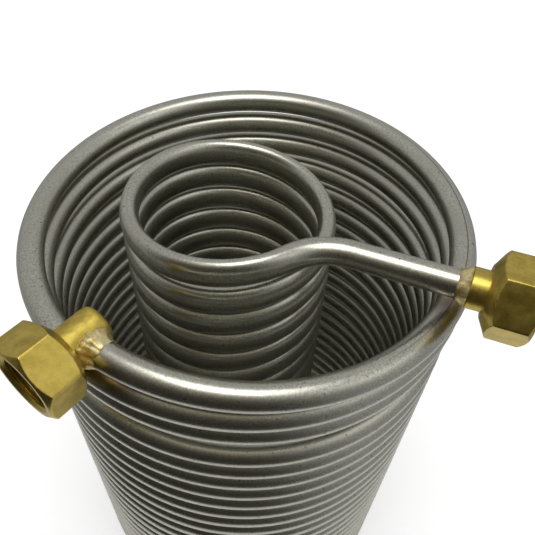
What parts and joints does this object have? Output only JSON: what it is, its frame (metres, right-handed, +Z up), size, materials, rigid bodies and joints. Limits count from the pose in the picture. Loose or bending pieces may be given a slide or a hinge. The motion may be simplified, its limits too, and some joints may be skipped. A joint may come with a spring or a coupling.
{
  "type": "immersion wort chiller",
  "caption": "Double-coil stainless immersion chiller: one tube wound down an outer coil and up an inner coil, with brazed brass hose unions that have free-turning nuts.",
  "frame": {"origin": "on the outer coil's axis, at the level the chiller stands on", "axes": "+Z up the outer coil's axis, +X to the right towards the outlet union, +Y to the back, away from the side the picture was taken from"},
  "size_m": [0.1782, 0.172, 0.2504],
  "materials": {
    "steel": "satin, as drawn",
    "brass": "turned, lightly tarnished",
    "braze": "bright brazing alloy, as run",
    "washer": "matt"
  },
  "bodies": {
    "chiller": {"outer_coil": "steel", "bottom_link": "steel", "inner_coil": "steel", "outlet_arm": "steel", "inlet_elbow": "brass", "inlet_braze": "braze", "inlet_washer": "washer", "outlet_tail": "brass", "outlet_braze": "braze", "outlet_washer": "washer"},
    "inlet_union_nut": {"inlet_nut": "brass"},
    "outlet_union_nut": {"outlet_nut": "brass"}
  },
  "joints": [
    {"name": "inlet_nut_turn", "type": "hinge", "parent": "chiller", "child": "inlet_union_nut", "pos_m": [-0.05005, -0.06889, 0.22679], "axis": [-0.5878, -0.809, 0], "continuous": true},
    {"name": "outlet_nut_turn", "type": "hinge", "parent": "chiller", "child": "outlet_union_nut", "pos_m": [0.07633, -0.04498, 0.23675], "axis": [0.9447, -0.3256, 0.0394], "continuous": true}
  ]
}
